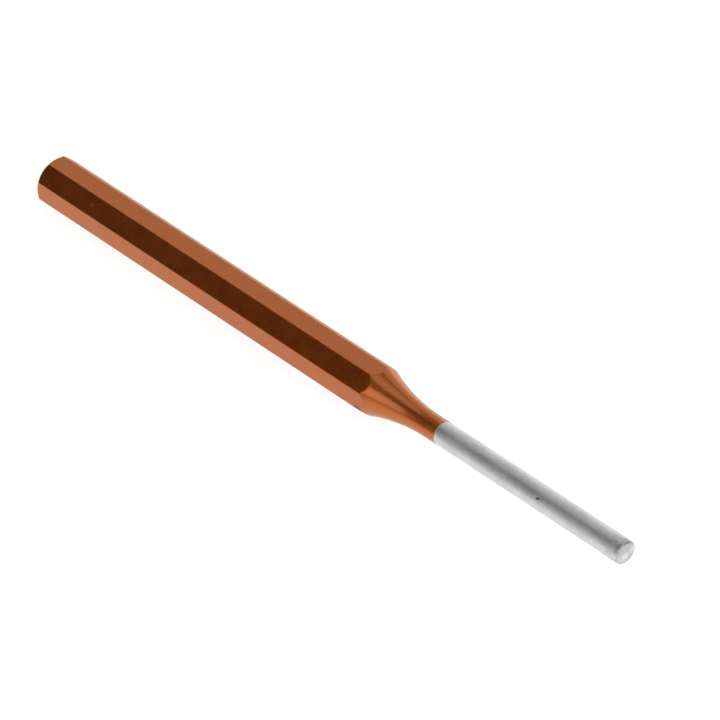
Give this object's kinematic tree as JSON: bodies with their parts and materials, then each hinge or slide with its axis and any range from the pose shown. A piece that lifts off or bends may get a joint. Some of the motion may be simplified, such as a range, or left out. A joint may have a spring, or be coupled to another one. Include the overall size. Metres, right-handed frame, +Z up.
{
  "type": "pin punch",
  "caption": "Parallel pin punch: octagonal lacquered shank, turned hollow neck and slim round steel pin with a flat tip, for driving out spring pins.",
  "frame": {"origin": "midway along the tool, on the surface that it lies on, under the tool's axis", "axes": "+X along the tool towards the pin's tip, +Z up from the flat that it rests on, +Y across"},
  "size_m": [0.16, 0.01, 0.01],
  "materials": {
    "bare_steel": "fine-turned, satin grey",
    "copper_lacquer": "metallic copper lacquer, satin gloss"
  },
  "bodies": {
    "root": {"punch_body": "bare_steel", "lacquer_coat": "copper_lacquer"}
  },
  "joints": []
}
